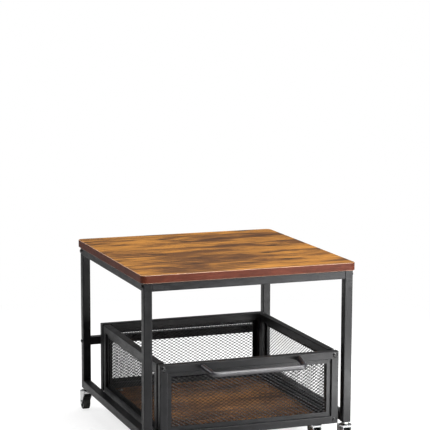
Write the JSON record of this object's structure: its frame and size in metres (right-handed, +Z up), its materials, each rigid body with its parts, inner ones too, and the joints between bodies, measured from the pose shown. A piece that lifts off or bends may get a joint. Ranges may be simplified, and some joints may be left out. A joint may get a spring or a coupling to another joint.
{
  "type": "mini fridge stand",
  "caption": "Square mini fridge stand: laminated board on a square tube frame with casters, and a mesh drawer with a bow handle that rolls out on casters of its own.",
  "frame": {"origin": "on the floor under the middle of the whole product with the drawer closed", "axes": "+Z up, -Y towards the front where the handle is, +X to the right of someone facing the front"},
  "size_m": [0.52, 0.6129, 0.438],
  "materials": {
    "wood_top": "satin laminate",
    "base_board": "matte laminate",
    "black_steel": "satin powder coat",
    "black_mesh": "satin powder coat",
    "black_handle": "semi gloss powder coat",
    "black_bolts": "satin",
    "black_plastic": "matte",
    "black_wheel": "satin",
    "chrome": "polished",
    "zinc_steel": "bright zinc"
  },
  "bodies": {
    "stand": {"tabletop": "wood_top", "tabletop_screws": "zinc_steel", "front_left_leg": "black_steel", "front_right_leg": "black_steel", "rear_left_leg": "black_steel", "rear_right_leg": "black_steel", "leg_caps": "black_plastic", "left_bottom_rail": "black_steel", "left_top_rail": "black_steel", "right_bottom_rail": "black_steel", "right_top_rail": "black_steel", "front_top_rail": "black_steel", "rear_top_rail": "black_steel", "rear_middle_rail": "black_steel", "frame_bolts": "black_bolts", "stand_caster_stems": "zinc_steel"},
    "drawer": {"drawer_front_frame": "black_steel", "drawer_front_border": "black_steel", "drawer_front_mesh": "black_mesh", "drawer_rear_frame": "black_steel", "drawer_rear_border": "black_steel", "drawer_rear_mesh": "black_mesh", "drawer_left_frame": "black_steel", "drawer_left_border": "black_steel", "drawer_left_mesh": "black_mesh", "drawer_right_frame": "black_steel", "drawer_right_border": "black_steel", "drawer_right_mesh": "black_mesh", "drawer_panel_bolts": "black_bolts", "drawer_panel_spacers": "black_steel", "handle_screws": "black_bolts", "drawer_handle": "black_handle", "drawer_bottom_board": "base_board", "drawer_caster_straps": "black_steel", "drawer_caster_nuts": "zinc_steel", "drawer_caster_stems": "zinc_steel"},
    "stand_caster_front_left_swivel": {"stand_caster_front_left_fork": "chrome", "stand_caster_front_left_axle": "chrome"},
    "stand_caster_front_left_roller": {"stand_caster_front_left_wheel": "black_wheel"},
    "stand_caster_front_right_swivel": {"stand_caster_front_right_fork": "chrome", "stand_caster_front_right_axle": "chrome"},
    "stand_caster_front_right_roller": {"stand_caster_front_right_wheel": "black_wheel"},
    "stand_caster_rear_left_swivel": {"stand_caster_rear_left_fork": "chrome", "stand_caster_rear_left_axle": "chrome"},
    "stand_caster_rear_left_roller": {"stand_caster_rear_left_wheel": "black_wheel"},
    "stand_caster_rear_right_swivel": {"stand_caster_rear_right_fork": "chrome", "stand_caster_rear_right_axle": "chrome"},
    "stand_caster_rear_right_roller": {"stand_caster_rear_right_wheel": "black_wheel"},
    "drawer_caster_front_left_swivel": {"drawer_caster_front_left_fork": "chrome", "drawer_caster_front_left_axle": "chrome"},
    "drawer_caster_front_left_roller": {"drawer_caster_front_left_wheel": "black_wheel"},
    "drawer_caster_front_right_swivel": {"drawer_caster_front_right_fork": "chrome", "drawer_caster_front_right_axle": "chrome"},
    "drawer_caster_front_right_roller": {"drawer_caster_front_right_wheel": "black_wheel"},
    "drawer_caster_rear_left_swivel": {"drawer_caster_rear_left_fork": "chrome", "drawer_caster_rear_left_axle": "chrome"},
    "drawer_caster_rear_left_roller": {"drawer_caster_rear_left_wheel": "black_wheel"},
    "drawer_caster_rear_right_swivel": {"drawer_caster_rear_right_fork": "chrome", "drawer_caster_rear_right_axle": "chrome"},
    "drawer_caster_rear_right_roller": {"drawer_caster_rear_right_wheel": "black_wheel"}
  },
  "joints": [
    {"name": "drawer_slide", "type": "slide", "parent": "stand", "child": "drawer", "axis": [0, -1, 0], "range_m": [-0.03, 0.45]},
    {"name": "stand_caster_front_left_turn", "type": "hinge", "parent": "stand", "child": "stand_caster_front_left_swivel", "pos_m": [-0.244, -0.2305, 0.054], "axis": [0, 0, 1], "continuous": true},
    {"name": "stand_caster_front_left_roll", "type": "hinge", "parent": "stand_caster_front_left_swivel", "child": "stand_caster_front_left_roller", "pos_m": [-0.244, -0.2185, 0.019], "axis": [1, 0, 0], "continuous": true},
    {"name": "stand_caster_front_right_turn", "type": "hinge", "parent": "stand", "child": "stand_caster_front_right_swivel", "pos_m": [0.244, -0.2305, 0.054], "axis": [0, 0, 1], "continuous": true},
    {"name": "stand_caster_front_right_roll", "type": "hinge", "parent": "stand_caster_front_right_swivel", "child": "stand_caster_front_right_roller", "pos_m": [0.244, -0.2185, 0.019], "axis": [1, 0, 0], "continuous": true},
    {"name": "stand_caster_rear_left_turn", "type": "hinge", "parent": "stand", "child": "stand_caster_rear_left_swivel", "pos_m": [-0.244, 0.2755, 0.054], "axis": [0, 0, 1], "continuous": true},
    {"name": "stand_caster_rear_left_roll", "type": "hinge", "parent": "stand_caster_rear_left_swivel", "child": "stand_caster_rear_left_roller", "pos_m": [-0.244, 0.2875, 0.019], "axis": [1, 0, 0], "continuous": true},
    {"name": "stand_caster_rear_right_turn", "type": "hinge", "parent": "stand", "child": "stand_caster_rear_right_swivel", "pos_m": [0.244, 0.2755, 0.054], "axis": [0, 0, 1], "continuous": true},
    {"name": "stand_caster_rear_right_roll", "type": "hinge", "parent": "stand_caster_rear_right_swivel", "child": "stand_caster_rear_right_roller", "pos_m": [0.244, 0.2875, 0.019], "axis": [1, 0, 0], "continuous": true},
    {"name": "drawer_caster_front_left_turn", "type": "hinge", "parent": "drawer", "child": "drawer_caster_front_left_swivel", "pos_m": [-0.178, -0.207, 0.054], "axis": [0, 0, 1], "continuous": true},
    {"name": "drawer_caster_front_left_roll", "type": "hinge", "parent": "drawer_caster_front_left_swivel", "child": "drawer_caster_front_left_roller", "pos_m": [-0.178, -0.195, 0.019], "axis": [1, 0, 0], "continuous": true},
    {"name": "drawer_caster_front_right_turn", "type": "hinge", "parent": "drawer", "child": "drawer_caster_front_right_swivel", "pos_m": [0.178, -0.207, 0.054], "axis": [0, 0, 1], "continuous": true},
    {"name": "drawer_caster_front_right_roll", "type": "hinge", "parent": "drawer_caster_front_right_swivel", "child": "drawer_caster_front_right_roller", "pos_m": [0.178, -0.195, 0.019], "axis": [1, 0, 0], "continuous": true},
    {"name": "drawer_caster_rear_left_turn", "type": "hinge", "parent": "drawer", "child": "drawer_caster_rear_left_swivel", "pos_m": [-0.178, 0.195, 0.054], "axis": [0, 0, 1], "continuous": true},
    {"name": "drawer_caster_rear_left_roll", "type": "hinge", "parent": "drawer_caster_rear_left_swivel", "child": "drawer_caster_rear_left_roller", "pos_m": [-0.178, 0.207, 0.019], "axis": [1, 0, 0], "continuous": true},
    {"name": "drawer_caster_rear_right_turn", "type": "hinge", "parent": "drawer", "child": "drawer_caster_rear_right_swivel", "pos_m": [0.178, 0.195, 0.054], "axis": [0, 0, 1], "continuous": true},
    {"name": "drawer_caster_rear_right_roll", "type": "hinge", "parent": "drawer_caster_rear_right_swivel", "child": "drawer_caster_rear_right_roller", "pos_m": [0.178, 0.207, 0.019], "axis": [1, 0, 0], "continuous": true}
  ]
}
